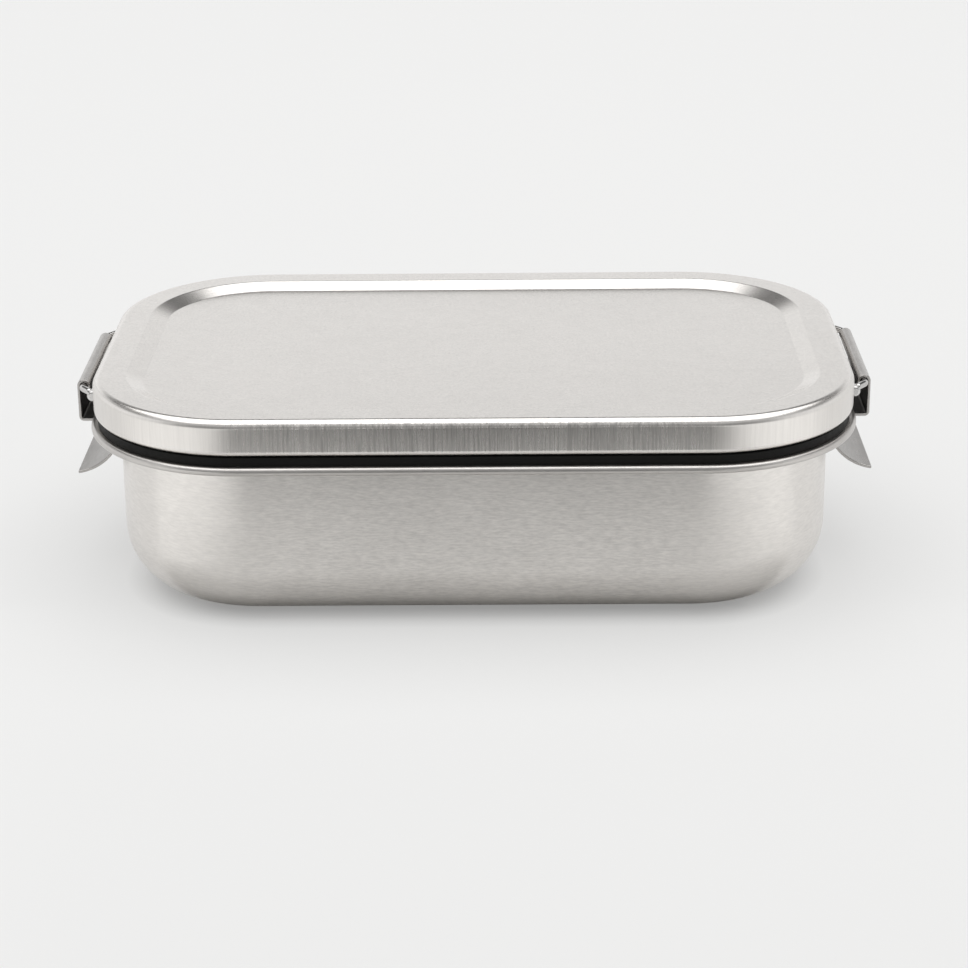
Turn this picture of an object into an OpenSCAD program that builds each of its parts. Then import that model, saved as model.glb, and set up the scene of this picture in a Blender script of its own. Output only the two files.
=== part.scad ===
// Lunch box of brushed steel: deep-drawn tub, pressed lid with a black seal,
// and a sprung-over sheet clip on each short side, hinged on a wire on the lid.
// Origin: middle of the footprint, on the surface the box stands on. +X is the
// long way of the box, +Z is up. Sizes in mm.

/* [Lid] */
// length of the lid over its skirt
lid_len = 220; // [200:1:240]
// width of the lid over its skirt
lid_wid = 146; // [130:1:160]
// corner radius of the lid in plan
corner_r = 45; // [43:1:50]
// height of the lid from the bottom of its hem to its top face
lid_height = 10.6; // [9.8:0.1:12]
// radius of the pressed edge between the top face and the skirt
edge_r = 2.5; // [1.5:0.1:3.5]
// flat ring and edge together, from the skirt to the start of the recess
recess_inset = 9.6; // [9:0.1:12]
// width of the slope down to the recessed panel
recess_slope_w = 5.2; // [4.5:0.1:7]
// depth of the recessed panel under the flat ring
recess_depth = 2; // [1:0.1:2.4]
// outer radius of the rolled hem under the skirt
hem_r = 1.8; // [1.4:0.1:1.9]

/* [Tub] */
// height of the top of the tub's flange
tub_height = 51; // [49:1:70]
// width of the flange from the tub's wall to its rolled rim
flange_w = 8; // [7.75:0.25:9]
// corner radius of the tub's wall in plan
tub_corner_r = 41; // [36:1:42]
// radius between the tub's wall and its floor
tub_bottom_r = 19; // [10:1:24]
// how far the rolled rim stands out past the lid's skirt
rim_over = 1; // [0.8:0.1:1.5]
// diameter of the rolled rim
rim_d = 2.5; // [2.1:0.1:2.8]

/* [Sheet and seal] */
// thickness of the tub's and lid's sheet
sheet = 0.6; // [0.5:0.1:0.7]
// height of seal seen between the hem and the flange
seal_gap = 2.8; // [2.2:0.1:3.6]

/* [Clips] */
// width of each clip along the short side
clip_w = 46; // [32:1:46]
// thickness of a clip's sheet
clip_sheet = 0.8; // [0.7:0.1:0.9]
// diameter of the hinge wire
wire_d = 2.06; // [1.8:0.02:2.2]
// distance from the lid's skirt to the hinge wire's axis
wire_out = 4; // [3.6:0.1:4.2]
// depth of the hinge wire's axis under the lid's top face
wire_drop = 6.2; // [5.8:0.1:6.6]
// how far the clip's plate leans out on its way down
plate_lean = 0; // [0:0.1:1]
// gap between the tub's wall and the hook's inner face
hook_gap = 0.4; // [0.3:0.1:1.2]
// radius of the finger tab's curve
tab_r = 16; // [14:0.1:17]
// turn of the finger tab's curve, from straight down to its free edge
tab_turn = 82; // [74:1:90]

/* [Hidden] */
$fn = 96;

hem_z = tub_height + seal_gap;
top_z = hem_z + lid_height;
panel_z = top_z - recess_depth;
rim_len = lid_len + 2 * rim_over;
rim_wid = lid_wid + 2 * rim_over;
rim_corner_r = corner_r + rim_over;
rim_z = tub_height - rim_d / 2;
tub_len = rim_len - 2 * flange_w;
tub_wid = rim_wid - 2 * flange_w;
root_r = 0.5;
rim_stub = 4;
press_r = 1.2;
seal_wall = 1.1;
seal_in = 6.4;
seal_out = 3.7;
lip_out = 1;
seal_clear = 0.1;
bore_clear = 0.07;
hook_clear = 0.3;
bend_r = 1.4;
curl_open = 290;
wire_stick = 0.8;
wire_bend_r = 3;
wire_bend = 36.8699;
wire_leg = 3.6;
lug_r = 1.6;
lug_in = 0.45;
lug_drop = 0.8;
lug_start = 3.9;
lug_len = 3.4;

wire_x = lid_len / 2 + wire_out;
wire_z = top_z - wire_drop;
bore_r = wire_d / 2 + bore_clear;
curl_r = bore_r + clip_sheet;
plate_out = wire_x + curl_r + plate_lean;
ledge_z = tub_height - rim_d - hook_clear - clip_sheet;
hook_x = tub_len / 2 + hook_gap;
tab_top = ledge_z + clip_sheet - bend_r;
wire_end = clip_w / 2 + wire_stick;

steel = [0.74, 0.73, 0.71];
bright = [0.82, 0.82, 0.82];
black = [0.05, 0.05, 0.05];

function arc(c, r, a0, a1, n) =
    [for (i = [0:n]) c + r * [cos(a0 + (a1 - a0) * i / n), sin(a0 + (a1 - a0) * i / n)]];

// a quarter turn of sheet, centred on the origin, from angle a to a + 90
module quarter_bend(r, t, a) {
    rotate([0, 0, a])
        intersection() {
            difference() {
                circle(r);
                circle(r - t);
            }
            square(r + 1);
        }
}

// a bar of sheet from [x0, y0] to [x1, y1]
module bar(x0, y0, x1, y1) {
    translate([x0, y0])
        square([x1 - x0, y1 - y0]);
}

// sweeps a section round a rounded rectangle; the section's x is measured
// outward from the corner's centre line and its y is the height
module ring_sweep(len, wid, r) {
    for (a = [0, 90, 180, 270]) {
        off = (a % 180 == 0 ? len : wid) / 2 - r;
        run = (a % 180 == 0 ? wid : len) - 2 * r;
        rotate([0, 0, a])
            translate([off, run / 2, 0]) {
                rotate([90, 0, 0])
                    linear_extrude(run)
                        children();
                rotate_extrude(angle = 90)
                    children();
            }
    }
}

module rounded_plate(len, wid, r) {
    square([len - 2 * r, wid], center = true);
    square([len, wid - 2 * r], center = true);
    for (x = [-1, 1], y = [-1, 1])
        translate([x * (len / 2 - r), y * (wid / 2 - r)])
            circle(r);
}

// floor, floor radius, wall and the turn out into the flange
module tub_section() {
    bar(0, 0, tub_corner_r - tub_bottom_r, sheet);
    translate([tub_corner_r - tub_bottom_r, tub_bottom_r])
        quarter_bend(tub_bottom_r, sheet, 270);
    bar(tub_corner_r - sheet, tub_bottom_r, tub_corner_r, tub_height - sheet - root_r);
    translate([tub_corner_r + root_r, tub_height - sheet - root_r])
        quarter_bend(root_r + sheet, sheet, 90);
}

// outer part of the flange with its edge rolled under
module rim_section() {
    c = [rim_corner_r - rim_d / 2, rim_z];
    polygon(concat(
        [[rim_corner_r - rim_stub, tub_height - sheet], [rim_corner_r - rim_stub, tub_height]],
        arc(c, rim_d / 2, 90, -170, 26),
        arc(c, rim_d / 2 - sheet, -170, 90, 20)));
}

module base_tub() {
    color(steel) {
        ring_sweep(tub_len, tub_wid, tub_corner_r)
            tub_section();
        translate([tub_corner_r - tub_len / 2, tub_corner_r - tub_wid / 2, 0])
            cube([tub_len - 2 * tub_corner_r, tub_wid - 2 * tub_corner_r, sheet]);
        translate([0, 0, tub_height - sheet])
            linear_extrude(sheet)
                difference() {
                    rounded_plate(rim_len - 2 * rim_stub, rim_wid - 2 * rim_stub,
                                  rim_corner_r - rim_stub);
                    rounded_plate(tub_len + 2 * root_r, tub_wid + 2 * root_r,
                                  tub_corner_r + root_r);
                }
        ring_sweep(rim_len, rim_wid, rim_corner_r)
            rim_section();
    }
}

// slope between the recessed panel and the flat ring, with its two press radii
module recess_section() {
    u0 = corner_r - recess_inset - recess_slope_w;
    u1 = corner_r - recess_inset;
    dz = recess_depth - 2 * press_r;
    dist = sqrt(recess_slope_w * recess_slope_w + dz * dz);
    tilt = atan2(dz, recess_slope_w) + asin(2 * press_r / dist);
    low = [u0, panel_z + press_r];
    high = [u1, top_z - press_r];
    polygon(concat(
        arc(low, press_r, -90, tilt - 90, 6),
        arc(high, press_r, tilt + 90, 90, 6),
        arc(high, press_r - sheet, 90, tilt + 90, 6),
        arc(low, press_r + sheet, tilt - 90, -90, 6)));
}

module lid_section() {
    bar(0, panel_z - sheet, corner_r - recess_inset - recess_slope_w, panel_z);
    recess_section();
    bar(corner_r - recess_inset, top_z - sheet, corner_r - edge_r, top_z);
    translate([corner_r - edge_r, top_z - edge_r])
        quarter_bend(edge_r, sheet, 0);
    bar(corner_r - sheet, hem_z + hem_r, corner_r, top_z - edge_r);
    translate([corner_r - hem_r, hem_z + hem_r]) {
        quarter_bend(hem_r, sheet, 270);
        quarter_bend(hem_r, sheet, 180);
    }
}

module lid_shell() {
    color(steel) {
        ring_sweep(lid_len, lid_wid, corner_r)
            lid_section();
        translate([corner_r - lid_len / 2, corner_r - lid_wid / 2, panel_z - sheet])
            cube([lid_len - 2 * corner_r, lid_wid - 2 * corner_r, sheet]);
    }
}

// two legs that stand on the flange, a web under the lid's ring and an outer lip
module seal_section() {
    bar(corner_r - seal_in, tub_height, corner_r - seal_in + seal_wall, top_z - sheet);
    bar(corner_r - seal_out - seal_wall, tub_height, corner_r - seal_out, top_z - sheet);
    bar(corner_r - seal_in, top_z - sheet - seal_wall, corner_r - seal_out, top_z - sheet);
    bar(corner_r - seal_out - seal_wall, tub_height, corner_r - lip_out, hem_z - seal_clear);
}

module lid_seal() {
    color(black)
        ring_sweep(lid_len, lid_wid, corner_r)
            seal_section();
}

module clip_section() {
    translate([wire_x, wire_z])
        difference() {
            circle(curl_r);
            circle(bore_r);
            polygon(concat([[0, 0]], arc([0, 0], 2 * curl_r, curl_open, 360, 4)));
        }
    polygon([[plate_out - clip_sheet, ledge_z + bend_r], [plate_out, ledge_z + bend_r],
             [wire_x + curl_r, wire_z], [wire_x + bore_r, wire_z]]);
    translate([plate_out - bend_r, ledge_z + bend_r])
        quarter_bend(bend_r, clip_sheet, 270);
    bar(hook_x + bend_r, ledge_z, plate_out - bend_r, ledge_z + clip_sheet);
    translate([hook_x + bend_r, tab_top])
        quarter_bend(bend_r, clip_sheet, 90);
    tab_c = [hook_x + tab_r, tab_top];
    polygon(concat(arc(tab_c, tab_r, 180, 180 + tab_turn, 32),
                   arc(tab_c, tab_r - clip_sheet, 180 + tab_turn, 180, 32)));
}

// one sheet: curl round the wire, plate, hook under the rim, finger tab
module clip_plate() {
    color(steel)
        translate([0, clip_w / 2, 0])
            rotate([90, 0, 0])
                linear_extrude(clip_w)
                    clip_section();
}

// the half of the wire that leads to one lug
module wire_bend_end() {
    translate([wire_x - wire_bend_r, wire_end, wire_z])
        rotate_extrude(angle = wire_bend)
            translate([wire_bend_r, 0])
                circle(wire_d / 2);
    translate([wire_x - wire_bend_r, wire_end, wire_z])
        rotate([0, 0, wire_bend])
            translate([wire_bend_r, 0, 0])
                rotate([-90, 0, 0])
                    cylinder(r = wire_d / 2, h = wire_leg);
}

module hinge_wire() {
    color(bright) {
        translate([wire_x, wire_end, wire_z])
            rotate([90, 0, 0])
                cylinder(r = wire_d / 2, h = 2 * wire_end);
        wire_bend_end();
        mirror([0, 1, 0])
            wire_bend_end();
    }
}

// pad that holds one end of the wire on the lid's skirt
module wire_lug() {
    color(bright)
        difference() {
            translate([lid_len / 2, clip_w / 2 + lug_start + lug_len, wire_z - lug_drop])
                rotate([90, 0, 0])
                    linear_extrude(lug_len)
                        intersection() {
                            translate([lug_in, 0])
                                circle(lug_r);
                            translate([0, -lug_r])
                                square([2 * lug_r + lug_in, 2 * lug_r]);
                        }
            wire_bend_end();
        }
}

module to_left() {
    mirror([1, 0, 0])
        children();
}

module to_front() {
    mirror([0, 1, 0])
        children();
}

base_tub();
lid_shell();
lid_seal();
to_left() clip_plate();  // left_clip_plate
clip_plate();  // right_clip_plate
to_left() hinge_wire();  // left_hinge_wire
hinge_wire();  // right_hinge_wire
to_left() to_front() wire_lug();  // left_front_wire_lug
to_left() wire_lug();  // left_rear_wire_lug
to_front() wire_lug();  // right_front_wire_lug
wire_lug();  // right_rear_wire_lug
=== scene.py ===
"""Steel lunch box with a clipped lid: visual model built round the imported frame."""
import math

import bpy
from mathutils import Matrix, Vector


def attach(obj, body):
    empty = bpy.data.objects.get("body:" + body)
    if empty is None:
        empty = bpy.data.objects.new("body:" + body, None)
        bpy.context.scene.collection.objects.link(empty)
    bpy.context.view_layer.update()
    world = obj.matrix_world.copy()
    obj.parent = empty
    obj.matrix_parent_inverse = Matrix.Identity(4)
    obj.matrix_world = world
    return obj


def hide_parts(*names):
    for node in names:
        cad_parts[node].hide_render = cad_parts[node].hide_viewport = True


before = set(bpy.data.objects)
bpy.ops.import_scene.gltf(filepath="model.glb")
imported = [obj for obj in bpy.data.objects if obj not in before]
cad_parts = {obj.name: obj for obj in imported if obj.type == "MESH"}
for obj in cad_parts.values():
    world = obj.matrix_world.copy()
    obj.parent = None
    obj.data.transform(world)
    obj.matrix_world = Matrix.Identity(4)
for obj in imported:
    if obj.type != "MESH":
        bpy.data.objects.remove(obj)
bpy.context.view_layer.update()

MM = 0.001

# ---------------------------------------------------------------- sizes, mm
CORE_X, CORE_Y = 65.0, 28.0      # corner centres of the lid and the rim
TUB_SHIFT = -3.0                 # how much further out the tub's corner centres lie
LID_R, RIM_R, TUB_R = 45.0, 46.0, 41.0
SHEET = 0.6
TUB_H, TUB_BOTTOM_R, ROOT_R, RIM_D = 51.0, 19.0, 0.5, 2.5
HEM_Z, HEM_R, EDGE_R, TOP_Z = 53.8, 1.8, 2.5, 64.4
RECESS_INSET, RECESS_W, RECESS_D, PRESS_R = 9.6, 5.2, 2.0, 1.2
SEAL_IN, SEAL_OUT, SEAL_WALL, LIP_OUT = 6.4, 3.7, 1.1, 1.0
RIM_BLEND = 3.4                  # the flange moves over to the tub's corners inside this
WIRE_X, WIRE_Z, WIRE_R = 114.0, 58.2, 1.03
WIRE_STICK, WIRE_BEND_R, WIRE_BEND, WIRE_LEG = 0.8, 3.0, 36.87, 2.9
CLIP_W, CLIP_T, CLIP_EDGE = 46.0, 0.8, 0.22
CURL_MID, CURL_OPEN = 1.5, 290   # middle of the curl's sheet, and where the curl ends
BEND_MID = 1.0                   # middle of the sheet in the clip's tight bends
SHELF_MID, HOOK_MID = 47.8, 103.8
TAB_MID, TAB_END = 15.6, 262
HOOK_Z = 47.0                    # the clip's inner faces above this level are painted dark: painted shade
LUG_R, LUG_IN, LUG_LEN, LUG_Y = 1.6, 0.45, 3.4, 28.6
LUG_DROP, LUG_SUNK, LUG_EDGE = 0.8, 0.3, 0.7
SEAL_EDGE, SEAL_UNDER = 0.25, 0.1
SKIRT_FROM = 9                   # steps of the lid's edge fillet before the skirt's finish

ARC_N, LONG_N, SHORT_N = 40, 40, 18


# ---------------------------------------------------------------- mesh tools
class Shell:
    """Collects vertices with their normals, and faces, and joins equal points."""

    def __init__(self):
        self.co, self.no, self.faces, self.mats, self.key = [], [], [], [], {}

    def vert(self, p, n):
        k = (round(p[0] * 1e4), round(p[1] * 1e4), round(p[2] * 1e4))
        if k not in self.key:
            self.key[k] = len(self.co)
            self.co.append((p[0] * MM, p[1] * MM, p[2] * MM))
            self.no.append(n)
        return self.key[k]

    def face(self, ids, mat=0):
        """Adds a face, turned so that it looks the way its vertices' normals do."""
        clean = [v for i, v in enumerate(ids) if v != ids[i - 1]]
        if len(set(clean)) < len(clean) or len(clean) < 3:
            return
        own = Vector((0, 0, 0))
        for i, v in enumerate(clean):
            own += Vector(self.co[clean[i - 1]]).cross(Vector(self.co[v]))
        shown = sum((Vector(self.no[v]) for v in clean), Vector((0, 0, 0)))
        self.faces.append(clean if own.dot(shown) > 0 else clean[::-1])
        self.mats.append(mat)

    def build(self, name, materials):
        mesh = bpy.data.meshes.new(name)
        mesh.from_pydata(self.co, [], self.faces)
        for m in materials:
            mesh.materials.append(m)
        mesh.polygons.foreach_set("use_smooth", [True] * len(mesh.polygons))
        mesh.polygons.foreach_set("material_index", self.mats)
        mesh.update()
        mesh.normals_split_custom_set_from_vertices(
            [Vector(n).normalized() for n in self.no])
        obj = bpy.data.objects.new(name, mesh)
        bpy.context.scene.collection.objects.link(obj)
        return obj


def stations():
    """(ax, ay, ux, uy) once round the outline: corner-centre factors and plan normal."""
    out = []
    corners = [(1, -1), (1, 1), (-1, 1), (-1, -1)]
    for k in range(4):
        a, b = corners[k], corners[(k + 1) % 4]
        n = SHORT_N if k % 2 == 0 else LONG_N
        ang = math.radians(90 * k)
        for j in range(n):
            t = j / n
            out.append((a[0] + (b[0] - a[0]) * t, a[1] + (b[1] - a[1]) * t,
                        math.cos(ang), math.sin(ang)))
        for i in range(ARC_N):
            th = ang + math.pi / 2 * i / ARC_N
            out.append((b[0], b[1], math.cos(th), math.sin(th)))
    return out


STATIONS = stations()


def arc(cx, cz, r, a0, a1, n, shift=0.0, flip=1, mat=0):
    """Profile points on an arc, degrees; flip=-1 turns the normal inward."""
    pts = []
    for i in range(n + 1):
        a = math.radians(a0 + (a1 - a0) * i / n)
        c, s = math.cos(a), math.sin(a)
        pts.append((cx + r * c, cz + r * s, flip * c, flip * s, shift, mat))
    return pts


def line(p, q, normal, n=1, shift=0.0, mat=0, shift_to=None):
    """Profile points on a straight; shift may change evenly from one end to the other."""
    last = shift if shift_to is None else shift_to
    return [(p[0] + (q[0] - p[0]) * i / n, p[1] + (q[1] - p[1]) * i / n,
             normal[0], normal[1], shift + (last - shift) * i / n, mat)
            for i in range(n + 1)]


def place(pt, st):
    """A profile point's position and normal at one station."""
    r, z, nr, nz, shift = pt[:5]
    ax, ay, ux, uy = st
    return ((ax * (CORE_X + shift) + r * ux, ay * (CORE_Y + shift) + r * uy, z),
            (nr * ux, nr * uy, nz))


def sweep(shell, profile, closed=False):
    """Skins a profile round every station; the profile runs with its outside on the right."""
    rings = []
    for pt in profile:
        rings.append([shell.vert(*place(pt, st)) for st in STATIONS])
    last = len(profile) if closed else len(profile) - 1
    count = len(STATIONS)
    for i in range(last):
        a, b = rings[i], rings[(i + 1) % len(profile)]
        for j in range(count):
            k = (j + 1) % count
            shell.face((a[j], a[k], b[k], b[j]), profile[i][5])


def middle(shell, z, up, shift, mat=0):
    """Grid that closes the middle of a flat floor or panel."""
    nz = 1 if up else -1
    ids = {}
    for i in range(LONG_N + 1):
        for j in range(SHORT_N + 1):
            x = (2 * i / LONG_N - 1) * (CORE_X + shift)
            y = (2 * j / SHORT_N - 1) * (CORE_Y + shift)
            ids[i, j] = shell.vert((x, y, z), (0, 0, nz))
    for i in range(LONG_N):
        for j in range(SHORT_N):
            quad = (ids[i, j], ids[i + 1, j], ids[i + 1, j + 1], ids[i, j + 1])
            shell.face(quad if up else quad[::-1], mat)


# ---------------------------------------------------------------- materials
def nodes_of(name):
    """A new material, its tree and its shader."""
    mat = bpy.data.materials.new(name)
    mat.use_nodes = True
    tree = mat.node_tree
    return mat, tree, tree.nodes["Principled BSDF"]


def noise(tree, scale, detail=3.0, rough=0.55, source=None):
    """Noise on object coordinates; scale is cycles per metre along x, y and z."""
    if source is None:
        source = tree.nodes.new("ShaderNodeTexCoord").outputs["Object"]
    mp = tree.nodes.new("ShaderNodeMapping")
    mp.inputs["Scale"].default_value = scale
    tree.links.new(source, mp.inputs["Vector"])
    tex = tree.nodes.new("ShaderNodeTexNoise")
    tex.inputs["Scale"].default_value = 1.0
    tex.inputs["Detail"].default_value = detail
    tex.inputs["Roughness"].default_value = rough
    tree.links.new(mp.outputs["Vector"], tex.inputs["Vector"])
    return tex.outputs["Fac"]


def warped(tree, scale, amount):
    """Object coordinates pushed about by a slow noise, so that streaks wander."""
    co = tree.nodes.new("ShaderNodeTexCoord").outputs["Object"]
    slow = tree.nodes.new("ShaderNodeTexNoise")
    slow.inputs["Scale"].default_value = scale
    slow.inputs["Detail"].default_value = 2.0
    tree.links.new(co, slow.inputs["Vector"])
    off = tree.nodes.new("ShaderNodeVectorMath")
    off.operation = "SUBTRACT"
    off.inputs[1].default_value = (0.5, 0.5, 0.5)
    tree.links.new(slow.outputs["Color"], off.inputs[0])
    add = tree.nodes.new("ShaderNodeVectorMath")
    add.operation = "MULTIPLY_ADD"
    add.inputs[1].default_value = (amount, amount, amount)
    tree.links.new(off.outputs["Vector"], add.inputs[0])
    tree.links.new(co, add.inputs[2])
    return add.outputs["Vector"]


def mapped(tree, fac, lo, hi, frm=(0.3, 0.7)):
    """fac's range frm mapped on to lo..hi, and held there outside it."""
    mr = tree.nodes.new("ShaderNodeMapRange")
    mr.inputs["From Min"].default_value = frm[0]
    mr.inputs["From Max"].default_value = frm[1]
    mr.inputs["To Min"].default_value = lo
    mr.inputs["To Max"].default_value = hi
    tree.links.new(fac, mr.inputs["Value"])
    return mr.outputs["Result"]


def math_node(tree, op, a, b):
    m = tree.nodes.new("ShaderNodeMath")
    m.operation = op
    for i, v in enumerate((a, b)):
        if isinstance(v, (int, float)):
            m.inputs[i].default_value = v
        else:
            tree.links.new(v, m.inputs[i])
    return m.outputs["Value"]


def tint(tree, colour, gain):
    """Colour multiplied by a varying gain."""
    vm = tree.nodes.new("ShaderNodeVectorMath")
    vm.operation = "SCALE"
    vm.inputs[0].default_value = colour
    tree.links.new(gain, vm.inputs["Scale"])
    return vm.outputs["Vector"]


def bump(tree, height, strength, distance, base=None):
    b = tree.nodes.new("ShaderNodeBump")
    b.inputs["Strength"].default_value = strength
    b.inputs["Distance"].default_value = distance
    tree.links.new(height, b.inputs["Height"])
    if base is not None:
        tree.links.new(base, b.inputs["Normal"])
    return b.outputs["Normal"]


def axes(tree, co="Object"):
    """The separate X, Y and Z of a coordinate."""
    xyz = tree.nodes.new("ShaderNodeSeparateXYZ")
    tree.links.new(tree.nodes.new("ShaderNodeTexCoord").outputs[co], xyz.inputs[0])
    return xyz.outputs


def off_straight(tree):
    """0 along the box's straight sides, rising to 1 on its rounded corners."""
    at = axes(tree)
    parts = []
    for axis, span in (("X", CORNER_X), ("Y", CORNER_Y)):
        away = math_node(tree, "ABSOLUTE", at[axis], 0.0)
        parts.append(mapped(tree, away, 0.0, 1.0, span))
    return math_node(tree, "MULTIPLY", parts[0], parts[1])


def steel(name, colour, rough, streak, streak_gain, streak_rough, aniso=0.0, rotate=0.0,
          wander=0.0006, cloud=0.03, grain_bump=0.15, smear=0.02, ripple_bump=0.1, calm=1.0):
    """Brushed or satin steel: streaks, slow cloudiness, faint smudges and wandering grain.

    calm is how much of the brushing is left on the corners, where the belt hardly reaches."""
    mat, tree, bsdf = nodes_of(name)
    fine = noise(tree, streak, 3.0, 0.6, source=warped(tree, 90.0, wander))
    long = noise(tree, tuple(s * 0.35 for s in streak), 2.0, 0.5,
                 source=warped(tree, 60.0, wander))
    slow = noise(tree, (28.0, 28.0, 40.0), 3.0, 0.5)
    smudge = noise(tree, (110.0, 110.0, 110.0), 4.0, 0.65)
    both = math_node(tree, "ADD", math_node(tree, "MULTIPLY", fine, FINE_SHARE),
                     math_node(tree, "MULTIPLY", long, LONG_SHARE))
    if calm < 1.0:
        kept = mapped(tree, off_straight(tree), 1.0, calm, (0.0, 1.0))
        swing = math_node(tree, "MULTIPLY", math_node(tree, "SUBTRACT", both, 0.5), kept)
        both = math_node(tree, "ADD", swing, 0.5)
    gain = math_node(tree, "MULTIPLY",
                     mapped(tree, both, 1 - streak_gain, 1 + streak_gain, (0.35, 0.65)),
                     mapped(tree, slow, 1 - cloud, 1 + cloud))
    tree.links.new(tint(tree, colour, gain), bsdf.inputs["Base Color"])
    rr = math_node(tree, "ADD",
                   mapped(tree, both, rough + streak_rough, rough - streak_rough, (0.3, 0.7)),
                   mapped(tree, smudge, -smear, 1.7 * smear, (0.45, 0.75)))
    tree.links.new(rr, bsdf.inputs["Roughness"])
    ripple = bump(tree, slow, ripple_bump, RIPPLE_DEEP)
    tree.links.new(bump(tree, both, grain_bump, GRAIN_DEEP, ripple), bsdf.inputs["Normal"])
    bsdf.inputs["Metallic"].default_value = 1.0
    if aniso:
        bsdf.inputs["Anisotropic"].default_value = aniso
        bsdf.inputs["Anisotropic Rotation"].default_value = rotate
        tan = tree.nodes.new("ShaderNodeTangent")
        tan.direction_type = "RADIAL"
        tan.axis = "Z"
        tree.links.new(tan.outputs["Tangent"], bsdf.inputs["Tangent"])
    return mat


def silicone(name):
    """Matt black silicone with a little dust."""
    mat, tree, bsdf = nodes_of(name)
    dust = noise(tree, (700.0, 700.0, 700.0), 3.0, 0.7)
    slow = noise(tree, (60.0, 60.0, 60.0), 2.0, 0.5)
    gain = math_node(tree, "ADD", mapped(tree, dust, 0.8, 1.5, (0.4, 0.75)),
                     mapped(tree, slow, -0.15, 0.15))
    tree.links.new(tint(tree, (0.0045, 0.0042, 0.0036), gain), bsdf.inputs["Base Color"])
    tree.links.new(mapped(tree, dust, 0.5, 0.68), bsdf.inputs["Roughness"])
    bsdf.inputs["Specular IOR Level"].default_value = 0.22
    tree.links.new(bump(tree, dust, 0.2, 0.00005), bsdf.inputs["Normal"])
    return mat


def footprint(tree):
    """Distance on the floor from the core rectangle of the tub's footprint, which shapes the
    floor's painted shadow.
    """
    out = []
    at = axes(tree)
    for axis, half in (("X", FOOT_X), ("Y", FOOT_Y)):
        away = math_node(tree, "ABSOLUTE", at[axis], 0.0)
        out.append(math_node(tree, "MAXIMUM", math_node(tree, "SUBTRACT", away, half), 0.0))
    squares = [math_node(tree, "MULTIPLY", v, v) for v in out]
    return math_node(tree, "SQRT", math_node(tree, "ADD", squares[0], squares[1]), 0.0)


def floor_glow_painted_shadow(name):
    """Pale floor with a faint painted glow that fades out under the box, painting a shadow round
    its foot.
    """
    mat, tree, bsdf = nodes_of(name)
    slow = noise(tree, (3.0, 3.0, 3.0), 2.0, 0.5)
    tree.links.new(tint(tree, (0.33, 0.33, 0.328), mapped(tree, slow, 0.995, 1.005)),
                   bsdf.inputs["Base Color"])
    bsdf.inputs["Roughness"].default_value = 0.75
    bsdf.inputs["Specular IOR Level"].default_value = 0.1
    bsdf.inputs["Emission Color"].default_value = (1.0, 1.0, 0.993, 1.0)
    # painted light: the floor glows, and the glow fades near the tub's foot to paint its shadow
    glow = mapped(tree, footprint(tree), 0.0, FLOOR_PAINTED_GLOW, PAINTED_SHADOW_SPAN)
    tree.links.new(glow, bsdf.inputs["Emission Strength"])
    return mat


# metres, in the box's own frame: where straight sides turn into corners, and the tub's foot
CORNER_X, CORNER_Y = (0.050, 0.072), (0.016, 0.038)
FOOT_X, FOOT_Y, PAINTED_SHADOW_SPAN = 0.062, 0.025, (0.012, 0.042)
FINE_SHARE, LONG_SHARE = 0.78, 0.22
RIPPLE_DEEP, GRAIN_DEEP = 0.0004, 0.00004

WARM = (0.765, 0.740, 0.712)
RIM_SHADE_TONE = (0.56, 0.54, 0.52)
DULL = (0.44, 0.425, 0.41)
TAB_SHADE_TONE = (0.31, 0.298, 0.287)
CLIP_SHADE_TONE = (0.10, 0.095, 0.09)
FLOOR_PAINTED_GLOW = 0.48

M_TUB = steel("tub_brushed", WARM, 0.32, (380.0, 380.0, 1900.0), 0.11, 0.03, 0.55, 0.25,
              wander=0.0011, grain_bump=0.02, smear=0.01, ripple_bump=0.04, calm=0.5)
# painted shade: a darker copy of the tub's steel on the rim's bead, dimming its highlight under
# the lid's edge
M_RIM_PAINTED_SHADE = steel("rim_bead_painted_shade", RIM_SHADE_TONE, 0.34, (300.0, 300.0, 900.0), 0.04, 0.03, wander=0.0005,
              grain_bump=0.02, ripple_bump=0.0)
M_TOP = steel("lid_satin", WARM, 0.24, (1300.0, 1300.0, 1300.0), 0.035, 0.02, wander=0.0002,
              cloud=0.012, grain_bump=0.02, smear=0.006, ripple_bump=0.0)
M_SKIRT = steel("skirt_brushed", WARM, 0.28, (1700.0, 1700.0, 55.0), 0.32, 0.045, 0.6, 0.0,
                grain_bump=0.01, smear=0.0, ripple_bump=0.0, calm=0.12)
M_CLIP = steel("clip_brushed", DULL, 0.28, (2200.0, 200.0, 2200.0), 0.05, 0.03,
               grain_bump=0.05, ripple_bump=0.0)
# painted shade: a darker copy of the clip's steel for the tab's flat faces below the lid's hem
M_TAB_PAINTED_SHADE = steel("clip_tab_painted_shade", TAB_SHADE_TONE, 0.30, (2200.0, 200.0, 2200.0), 0.05, 0.03,
              grain_bump=0.05, ripple_bump=0.0)
# painted shade: a near-black copy of the clip's steel on its inner faces above HOOK_Z, in the gap
# by the skirt
M_CLIP_PAINTED_SHADE = steel("clip_inside_painted_shade", CLIP_SHADE_TONE, 0.35, (2200.0, 200.0, 2200.0), 0.05, 0.03,
                grain_bump=0.05, ripple_bump=0.0)
M_WIRE = steel("wire_bright", (0.58, 0.57, 0.56), 0.14, (900.0, 300.0, 900.0), 0.03, 0.03)
M_LUG = steel("lug_bright", (0.62, 0.61, 0.60), 0.22, (900.0, 900.0, 900.0), 0.04, 0.03)
M_SEAL = silicone("seal_black")
M_FLOOR = floor_glow_painted_shadow("floor_glow_painted_shadow")


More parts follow.
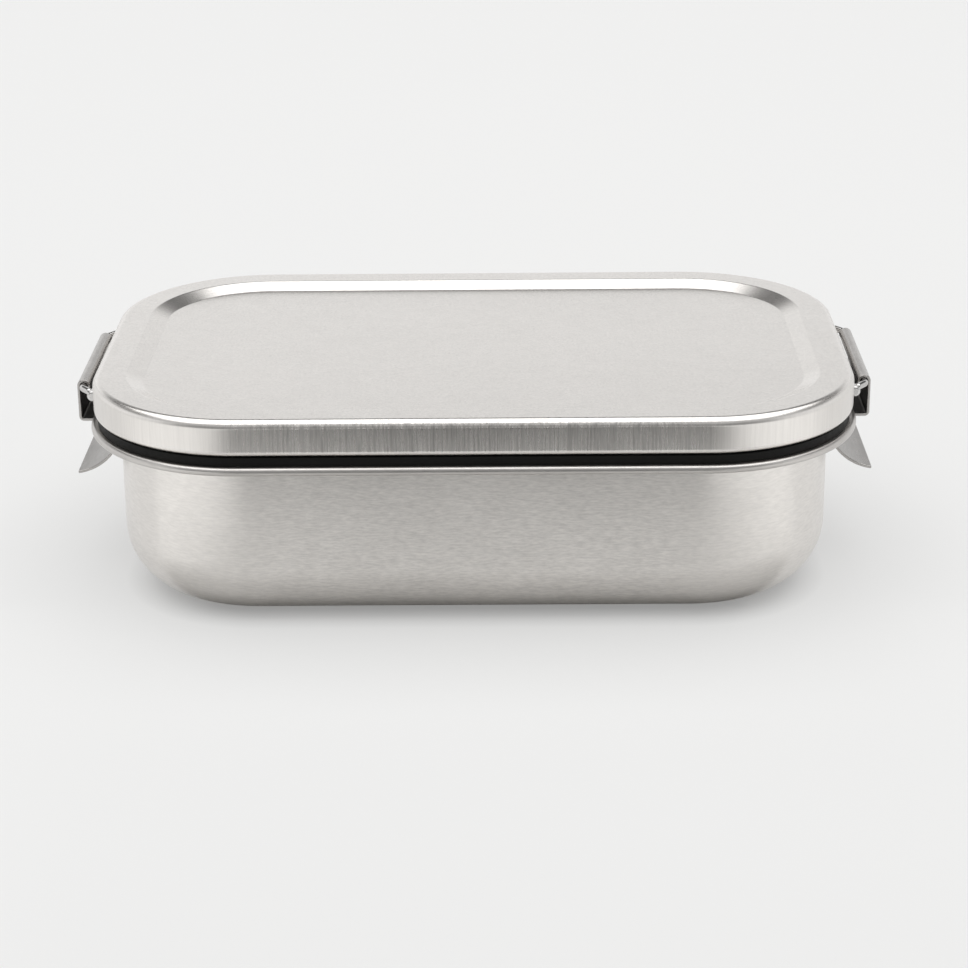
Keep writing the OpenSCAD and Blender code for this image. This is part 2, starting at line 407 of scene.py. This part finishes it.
# ---------------------------------------------------------------- tub
def build_tub():
    s = Shell()
    t = TUB_SHIFT
    root_z = TUB_H - SHEET - ROOT_R
    bead_c = RIM_R - RIM_D / 2
    bead_z = TUB_H - RIM_D / 2
    under, top = TUB_H - SHEET, TUB_H
    floor_r = TUB_R - TUB_BOTTOM_R
    rim_from = RIM_R - RIM_BLEND
    prof = line((0, 0), (floor_r, 0), (0, -1), 3, t)
    prof += arc(floor_r, TUB_BOTTOM_R, TUB_BOTTOM_R, -90, 0, 28, t)[1:]
    prof += line((TUB_R, TUB_BOTTOM_R), (TUB_R, root_z), (1, 0), 10, t)[1:]
    prof += arc(TUB_R + ROOT_R, root_z, ROOT_R, 180, 90, 8, t, -1)[1:]
    prof += line((TUB_R + ROOT_R, under), (rim_from, under), (0, -1), 3, t, 0, 0.0)[1:]
    prof += line((rim_from, under), (bead_c, under), (0, -1), 2)[1:]
    prof += arc(bead_c, bead_z, RIM_D / 2 - SHEET, 90, -170, 14, 0.0, -1)[1:]
    # the bead's outside takes the darker copy of the tub's steel: painted shade
    prof += arc(bead_c, bead_z, RIM_D / 2, -170, 90, 30, mat=1)
    prof += line((bead_c, top), (rim_from, top), (0, 1), 2)[1:]
    prof += line((rim_from, top), (TUB_R + ROOT_R, top), (0, 1), 3, 0.0, 0, t)[1:]
    prof += arc(TUB_R + ROOT_R, root_z, ROOT_R + SHEET, 90, 180, 10, t)[1:]
    inner = TUB_R - SHEET
    prof += line((inner, root_z), (inner, TUB_BOTTOM_R), (-1, 0), 10, t)[1:]
    prof += arc(floor_r, TUB_BOTTOM_R, TUB_BOTTOM_R - SHEET, 0, -90, 28, t, -1)[1:]
    prof += line((floor_r, SHEET), (0, SHEET), (0, 1), 3, t)[1:]
    sweep(s, prof)
    middle(s, 0.0, False, t)
    middle(s, SHEET, True, t)
    return s.build("tub_pressing", [M_TUB, M_RIM_PAINTED_SHADE])


# ---------------------------------------------------------------- lid
def recess(offset, n):
    """The sloped press line, seen from above; offset is 0 on top, SHEET underneath."""
    u0 = LID_R - RECESS_INSET - RECESS_W
    u1 = LID_R - RECESS_INSET
    dz = RECESS_D - 2 * PRESS_R
    tilt = math.degrees(math.atan2(dz, RECESS_W)
                        + math.asin(2 * PRESS_R / math.hypot(RECESS_W, dz)))
    low = arc(u0, TOP_Z - RECESS_D + PRESS_R, PRESS_R + offset, -90, tilt - 90, n, 0.0, -1)
    high = arc(u1, TOP_Z - PRESS_R, PRESS_R - offset, tilt + 90, 90, n)
    return low + high


def build_lid():
    s = Shell()
    wall_z = HEM_Z + HEM_R
    hem_c = LID_R - HEM_R
    panel = TOP_Z - RECESS_D
    u0 = LID_R - RECESS_INSET - RECESS_W
    u1 = LID_R - RECESS_INSET
    out = line((0, panel), (u0, panel), (0, 1), 4)
    out += recess(0.0, 8)[1:]
    out += line((u1, TOP_Z), (LID_R - EDGE_R, TOP_Z), (0, 1), 3)[1:]
    fillet = arc(LID_R - EDGE_R, TOP_Z - EDGE_R, EDGE_R, 90, 0, 24)[1:]
    out += [p[:5] + (1 if i >= SKIRT_FROM else 0,) for i, p in enumerate(fillet)]
    out += line((LID_R, TOP_Z - EDGE_R), (LID_R, wall_z), (1, 0), 5, 0.0, 1)[1:]
    out += arc(hem_c, wall_z, HEM_R, 0, -180, 24)[1:]
    edge = hem_c - HEM_R + SHEET / 2
    out += arc(edge, wall_z, SHEET / 2, 180, 0, 6, 0.0, 1, 1)[1:]
    out += arc(hem_c, wall_z, HEM_R - SHEET, -180, 0, 14, 0.0, -1, 1)[1:]
    inner = LID_R - SHEET
    out += line((inner, wall_z), (inner, TOP_Z - EDGE_R), (-1, 0), 4, 0.0, 0)[1:]
    out += arc(LID_R - EDGE_R, TOP_Z - EDGE_R, EDGE_R - SHEET, 0, 90, 10, 0.0, -1)[1:]
    out += line((LID_R - EDGE_R, TOP_Z - SHEET), (u1, TOP_Z - SHEET), (0, -1), 3)[1:]
    back = recess(SHEET, 8)[::-1]
    out += [(p[0], p[1], -p[2], -p[3], p[4], 0) for p in back][1:]
    out += line((u0, panel - SHEET), (0, panel - SHEET), (0, -1), 4)[1:]
    sweep(s, out)
    middle(s, panel, True, 0.0)
    middle(s, panel - SHEET, False, 0.0)
    return s.build("lid_pressing", [M_TOP, M_SKIRT])


# ---------------------------------------------------------------- seal
def build_seal():
    s = Shell()
    r = SEAL_EDGE
    top, base, lip = TOP_Z - SHEET, TUB_H, HEM_Z - SEAL_UNDER
    a, b = LID_R - SEAL_IN, LID_R - SEAL_IN + SEAL_WALL
    c, d = LID_R - SEAL_OUT - SEAL_WALL, LID_R - SEAL_OUT
    e = LID_R - LIP_OUT
    web = top - SEAL_WALL
    prof = []

    def corner(x, z, a0, a1, inside=False):
        prof.extend(arc(x, z, r, a0, a1, 4, 0.0, -1 if inside else 1))

    corner(a + r, base + r, 180, 270)
    corner(b - r, base + r, 270, 360)
    corner(b + r, web - r, 180, 90, True)
    corner(c - r, web - r, 90, 0, True)
    corner(c + r, base + r, 180, 270)
    corner(e - r, base + r, 270, 360)
    corner(e - 2 * r, lip - 2 * r, 0, 90)
    corner(d + r, lip + r, 270, 180, True)
    corner(d - r, top - r, 0, 90)
    corner(a + r, top - r, 90, 180)
    sweep(s, prof, True)
    return s.build("seal_ring", [M_SEAL])


# ---------------------------------------------------------------- clips
def strip_path():
    """(x, z, normal x, normal z) down the middle of the sheet, on the right-hand side."""
    pts = []

    def bend(cx, cz, r, a0, a1, n):
        for i in range(n + 1):
            a = math.radians(a0 + (a1 - a0) * i / n)
            c, s_ = math.cos(a), math.sin(a)
            pts.append((cx + r * c, cz + r * s_, c, s_))

    bend(WIRE_X, WIRE_Z, CURL_MID, CURL_OPEN, 0, 40)
    bend(WIRE_X + CURL_MID - BEND_MID, SHELF_MID + BEND_MID, BEND_MID, 0, -90, 8)
    bend(HOOK_MID + BEND_MID, SHELF_MID - BEND_MID, BEND_MID, 90, 180, 8)
    bend(HOOK_MID + TAB_MID, SHELF_MID - BEND_MID, TAB_MID, 180, TAB_END, 28)
    return pts


def fix_normals(pts):
    """Normals turned a quarter from the way the path runs, always to its left."""
    out = []
    for i, p in enumerate(pts):
        a, b = pts[max(i - 1, 0)], pts[min(i + 1, len(pts) - 1)]
        dx, dz = b[0] - a[0], b[1] - a[1]
        n = math.hypot(dx, dz)
        left = (-dz / n, dx / n)
        own = (p[2], p[3])
        if own[0] * left[0] + own[1] * left[1] < 0:
            own = (-own[0], -own[1])
        out.append((p[0], p[1], own[0], own[1]))
    return out


def build_clip(name, side):
    """The clip's strip: a rounded section carried along the path. side is -1 or 1."""
    s = Shell()
    half, t, r = CLIP_W / 2, CLIP_T / 2, CLIP_EDGE
    loop = []
    for cy, ca, a0 in ((half - r, t - r, 0), (-half + r, t - r, 90),
                       (-half + r, -t + r, 180), (half - r, -t + r, 270)):
        for i in range(5):
            a = math.radians(a0 + 90 * i / 4)
            loop.append((cy + r * math.cos(a), ca + r * math.sin(a), math.cos(a), math.sin(a)))
    path = fix_normals(strip_path())
    first, last = path[0], path[-1]

    def ends(p, sign):
        """Extra sections that round off the free edge at one end of the sheet."""
        tx, tz = p[3] * sign, -p[2] * sign
        return [(p[0] - tx * r * (1 - math.cos(a)), p[1] - tz * r * (1 - math.cos(a)),
                 p[2], p[3], r * (1 - math.sin(a)), (tx, tz, math.cos(a)))
                for a in (math.radians(d) for d in (90, 60, 30, 0))]

    rows = [p + (0.0, None) for p in path]
    rows = ends(first, -1)[::-1] + rows[1:-1] + ends(last, 1)
    rings = []
    for x, z, nx, nz, inset, end in rows:
        ring = []
        for y, h, cy, ch in loop:
            k = (t - inset) / t
            if end is None:
                n = (nx * ch, cy, nz * ch)
            else:
                e = end[2]
                flat = math.sqrt(max(0.0, 1 - e * e))
                n = (nx * ch * flat + end[0] * e, cy * flat, nz * ch * flat + end[1] * e)
            px, pz = x + nx * h * k, z + nz * h * k
            yy = y - math.copysign(inset, y)
            ring.append(s.vert((side * px, yy, pz), (side * n[0], n[1], n[2])))
        rings.append(ring)
    m = len(loop)
    flat = [abs(loop[j][3] + loop[(j + 1) % m][3]) > 1.9 for j in range(m)]
    inner = [loop[j][3] + loop[(j + 1) % m][3] < -1.9 for j in range(m)]
    covered = [row[1] > HOOK_Z for row in rows]
    for i, (a, b) in enumerate(zip(rings, rings[1:])):
        for j in range(m):
            k = (j + 1) % m
            # inner faces above HOOK_Z take the near-black copy of the clip's steel: painted shade
            painted_dark, tab = inner[j] and covered[i], flat[j] and not covered[i]
            # flat faces below HOOK_Z take the darker copy of the clip's steel: painted shade
            s.face((a[j], a[k], b[k], b[j]), 1 if painted_dark else 2 if tab else 0)
    for ring, flip in ((rings[0], side > 0), (rings[-1], side < 0)):
        s.face(ring[::-1] if flip else ring)
    return s.build(name, [M_CLIP, M_CLIP_PAINTED_SHADE, M_TAB_PAINTED_SHADE])


def tube(shell, path, radius, sides=20):
    """Round wire along points in one level plane, with domed ends."""
    rows = []
    n = len(path)
    for i, p in enumerate(path):
        a, b = path[max(i - 1, 0)], path[min(i + 1, n - 1)]
        tangent = (Vector(b) - Vector(a)).normalized()
        rows.append((Vector(p), tangent, radius, 0.0))
    head, tail = rows[0], rows[-1]
    domes = [math.radians(d) for d in (15, 35, 55, 75, 89)]
    start = [(head[0] - head[1] * radius * math.sin(a), head[1], radius * math.cos(a),
              -math.sin(a)) for a in reversed(domes)]
    stop = [(tail[0] + tail[1] * radius * math.sin(a), tail[1], radius * math.cos(a),
             math.sin(a)) for a in domes]
    rings = []
    for p, tangent, r, lean in start + rows + stop:
        across = Vector((0, 0, 1)).cross(tangent).normalized()
        ring = []
        for j in range(sides):
            a = 2 * math.pi * j / sides
            d = across * math.cos(a) + Vector((0, 0, 1)) * math.sin(a)
            flat = math.sqrt(1 - lean * lean)
            q = p + d * r
            ring.append(shell.vert(tuple(q), tuple(d * flat + tangent * lean)))
        rings.append(ring)
    for a, b in zip(rings, rings[1:]):
        for j in range(sides):
            k = (j + 1) % sides
            shell.face((a[j], a[k], b[k], b[j]))
    shell.face(rings[0][::-1])
    shell.face(rings[-1])


def build_wire(name, side):
    s = Shell()
    end, bend_r, bend, leg = CLIP_W / 2 + WIRE_STICK, WIRE_BEND_R, WIRE_BEND, WIRE_LEG
    half = []
    for i in range(9):
        a = math.radians(bend * i / 8)
        half.append((WIRE_X - bend_r + bend_r * math.cos(a), end + bend_r * math.sin(a)))
    a = math.radians(bend)
    half.append((half[-1][0] - leg * math.sin(a), half[-1][1] + leg * math.cos(a)))
    path = [(x, -y) for x, y in reversed(half)] + [(WIRE_X, y) for y in (-12, 0, 12)] + half
    pts = [(side * x, y, WIRE_Z) for x, y in path]
    tube(s, pts, WIRE_R)
    return s.build(name, [M_WIRE])


def build_lug(name, side, way):
    s = Shell()
    skirt_x = CORE_X + LID_R
    cx, cz = skirt_x + LUG_IN, WIRE_Z - LUG_DROP
    back = skirt_x - LUG_SUNK
    start = math.degrees(math.acos((back - cx) / LUG_R))
    outline = [(cx + LUG_R * math.cos(math.radians(start - 2 * start * i / 24)),
                cz + LUG_R * math.sin(math.radians(start - 2 * start * i / 24)))
               for i in range(25)]
    round_r = LUG_EDGE
    rows = []
    for d in (90, 65, 40, 20, 0):
        a = math.radians(d)
        rows.append((-LUG_LEN / 2 + round_r * (1 - math.sin(a)), round_r * (1 - math.cos(a)), -a))
    rows += [(-y, inset, -a) for y, inset, a in reversed(rows)]
    rings = []
    for y, inset, a in rows:
        ring = []
        e = math.sin(a)
        for x, z in outline:
            k = (LUG_R - inset) / LUG_R
            nx, nz = (x - cx) / LUG_R, (z - cz) / LUG_R
            px = max(back, cx + (x - cx) * k) if x > back + 1e-6 else back
            pz = cz + (z - cz) * k
            yy = LUG_Y + y
            flat = math.cos(a)
            ring.append(s.vert((side * px, way * yy, pz),
                               (side * nx * flat, way * e, nz * flat)))
        rings.append(ring)
    m = len(outline)
    turned = side * way < 0
    for a, b in zip(rings, rings[1:]):
        for j in range(m):
            k = (j + 1) % m
            quad = (a[j], a[k], b[k], b[j])
            s.face(quad[::-1] if turned else quad)
    s.face(rings[0] if turned else rings[0][::-1])
    s.face(rings[-1][::-1] if turned else rings[-1])
    return s.build(name, [M_LUG])


def adopt(piece, body, node):
    """Puts a piece on its body, in place of its CAD node."""
    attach(piece, body)
    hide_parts(node)


adopt(build_tub(), "base", "base_tub")
adopt(build_lid(), "lid", "lid_shell")
adopt(build_seal(), "lid", "lid_seal")
for word, side in (("left", -1), ("right", 1)):
    adopt(build_clip(word + "_clip_strip", side), word + "_clip",
          word + "_clip_plate")
    adopt(build_wire(word + "_pivot_wire", side), "lid", word + "_hinge_wire")
    for end, way in (("front", -1), ("rear", 1)):
        adopt(build_lug(f"{word}_{end}_pad", side, way), "lid",
              f"{word}_{end}_wire_lug")


# ---------------------------------------------------------------- stage
def build_floor():
    half = 9.0
    mesh = bpy.data.meshes.new("floor")
    mesh.from_pydata([(-half, -half, 0), (half, -half, 0), (half, half, 0), (-half, half, 0)],
                     [], [(0, 1, 2, 3)])
    mesh.materials.append(M_FLOOR)
    obj = bpy.data.objects.new("floor", mesh)
    bpy.context.scene.collection.objects.link(obj)


def softbox(name, place_at, aim, size, power):
    """A large area light, not itself in view."""
    data = bpy.data.lights.new(name, "AREA")
    data.shape = "RECTANGLE"
    data.size, data.size_y = size
    data.energy = power
    obj = bpy.data.objects.new(name, data)
    obj.location = place_at
    obj.rotation_mode = "QUATERNION"
    obj.rotation_quaternion = (Vector(place_at) - Vector(aim)).to_track_quat("Z", "Y")
    obj.visible_camera = False
    bpy.context.scene.collection.objects.link(obj)


BACKDROP = (0.86, 0.86, 0.85)    # what the camera sees past the floor's edge


def build_world():
    """The room that the steel mirrors, with a flat pale backdrop for the camera."""
    world = bpy.data.worlds.new("studio")
    bpy.context.scene.world = world
    world.use_nodes = True
    tree = world.node_tree
    back = tree.nodes["Background"]
    at = axes(tree, "Generated")

    def ramp(value, a, b, lo, hi):
        mr = tree.nodes.new("ShaderNodeMapRange")
        mr.interpolation_type = "SMOOTHSTEP"
        for key, v in (("From Min", a), ("From Max", b), ("To Min", lo), ("To Max", hi)):
            mr.inputs[key].default_value = v
        tree.links.new(value, mr.inputs["Value"])
        return mr.outputs["Result"]

    # bright sweep low behind, dim in front; above it a mid-grey room in front, dark behind
    sweep_low = ramp(at["Z"], 0.38, 0.52, 1.0, 0.0)
    behind = ramp(at["Y"], -0.75, -0.35, 0.0, 1.0)
    front_low = ramp(at["Y"], -0.75, -0.35, 0.28, 0.0)
    sideways = ramp(at["X"], -0.5, 0.5, 1.02, 0.93)
    lit_low = math_node(tree, "ADD", math_node(tree, "MULTIPLY", behind, sideways), front_low)
    low = math_node(tree, "MULTIPLY", sweep_low, lit_low)
    high = math_node(tree, "MULTIPLY", math_node(tree, "SUBTRACT", 1.0, sweep_low),
                     ramp(at["Y"], -0.15, 0.15, 0.55, 0.10))
    total = math_node(tree, "ADD", low, high)
    shade = tree.nodes.new("ShaderNodeCombineXYZ")
    for i in range(3):
        tree.links.new(total, shade.inputs[i])
    lit = tree.nodes.new("ShaderNodeLightPath")
    mix = tree.nodes.new("ShaderNodeMix")
    mix.data_type = "VECTOR"
    tree.links.new(lit.outputs["Is Camera Ray"], mix.inputs["Factor"])
    tree.links.new(shade.outputs[0], mix.inputs[4])
    mix.inputs[5].default_value = BACKDROP
    tree.links.new(mix.outputs[1], back.inputs["Color"])
    back.inputs["Strength"].default_value = 1.0


# the card's painted reflections: painted shade by depth and a painted glow at its sides, and
# where along Y and |X| it changes
CARD_NEAR, CARD_FAR, CARD_EDGE_GLOW = 0.65, 0.04, 1.06
CARD_MID, CARD_CLOSE = 0.92, 1.12
CARD_FADE, CARD_LIFT, CARD_SIDE = (-0.19, -0.235), (-0.15, -0.085), (0.100, 0.170)
CARD_SHIFT = 0.008


def build_painted_reflection_card():
    """Grey card on the floor in front, out of the camera's sight, that the steel mirrors: its
    grey and glowing sides are painted reflections of shade and light.
    """
    mat, tree, bsdf = nodes_of("flag_painted_reflection")
    at = axes(tree)
    far_off = mapped(tree, at["Y"], CARD_NEAR, CARD_FAR, CARD_FADE)
    close = mapped(tree, at["Y"], CARD_MID, CARD_CLOSE, CARD_LIFT)
    side = math_node(tree, "ABSOLUTE", math_node(tree, "SUBTRACT", at["X"], CARD_SHIFT), 0.0)
    blend = mapped(tree, side, 0.0, 1.0, CARD_SIDE)
    body = math_node(tree, "MULTIPLY", far_off, close)
    keep = math_node(tree, "MULTIPLY", body, math_node(tree, "SUBTRACT", 1.0, blend))
    tree.links.new(tint(tree, (1.0, 1.0, 0.99), keep), bsdf.inputs["Base Color"])
    bsdf.inputs["Emission Color"].default_value = (1.0, 1.0, 0.99, 1.0)
    # painted light: the card's sides glow, though no lamp, for the steel's side reflections
    tree.links.new(math_node(tree, "MULTIPLY", blend, CARD_EDGE_GLOW),
                   bsdf.inputs["Emission Strength"])
    bsdf.inputs["Roughness"].default_value = 0.9
    bsdf.inputs["Specular IOR Level"].default_value = 0.0
    mesh = bpy.data.meshes.new("flag")
    near, far, half, z = -0.05, -1.4, 0.6, 0.001
    mesh.from_pydata([(-half, far, z), (half, far, z), (half, near, z), (-half, near, z)],
                     [], [(0, 1, 2, 3)])
    mesh.materials.append(mat)
    obj = bpy.data.objects.new("flag", mesh)
    obj.visible_camera = obj.visible_diffuse = obj.visible_shadow = False
    bpy.context.scene.collection.objects.link(obj)


build_floor()
build_painted_reflection_card()
build_world()
softbox("overhead", (0.0, 0.35, 3.0), (0.0, 0.35, 0.0), (5.2, 3.9), 118.0)


# ---------------------------------------------------------------- camera
def build_camera():
    """The camera, at the place and angles fitted to the outlines of lid, rim and tub."""
    spot = Vector((0.010805, -0.746831, 0.302262))
    pitch, yaw, roll = 0.36359, -0.01104, -0.01007
    lens = 97.22
    fwd = Vector((math.sin(yaw) * math.cos(pitch), math.cos(yaw) * math.cos(pitch),
                  -math.sin(pitch)))
    right = Vector((math.cos(yaw), -math.sin(yaw), 0.0))
    up = right.cross(fwd)
    r2 = right * math.cos(roll) + up * math.sin(roll)
    u2 = up * math.cos(roll) - right * math.sin(roll)
    data = bpy.data.cameras.new("camera")
    data.lens = lens
    data.sensor_width = 36.0
    data.clip_start, data.clip_end = 0.01, 60.0
    cam = bpy.data.objects.new("camera", data)
    cam.matrix_world = Matrix((
        (r2.x, u2.x, -fwd.x, spot.x), (r2.y, u2.y, -fwd.y, spot.y),
        (r2.z, u2.z, -fwd.z, spot.z), (0, 0, 0, 1)))
    bpy.context.scene.collection.objects.link(cam)
    bpy.context.scene.camera = cam


build_camera()
bpy.context.scene.view_settings.view_transform = "Standard"
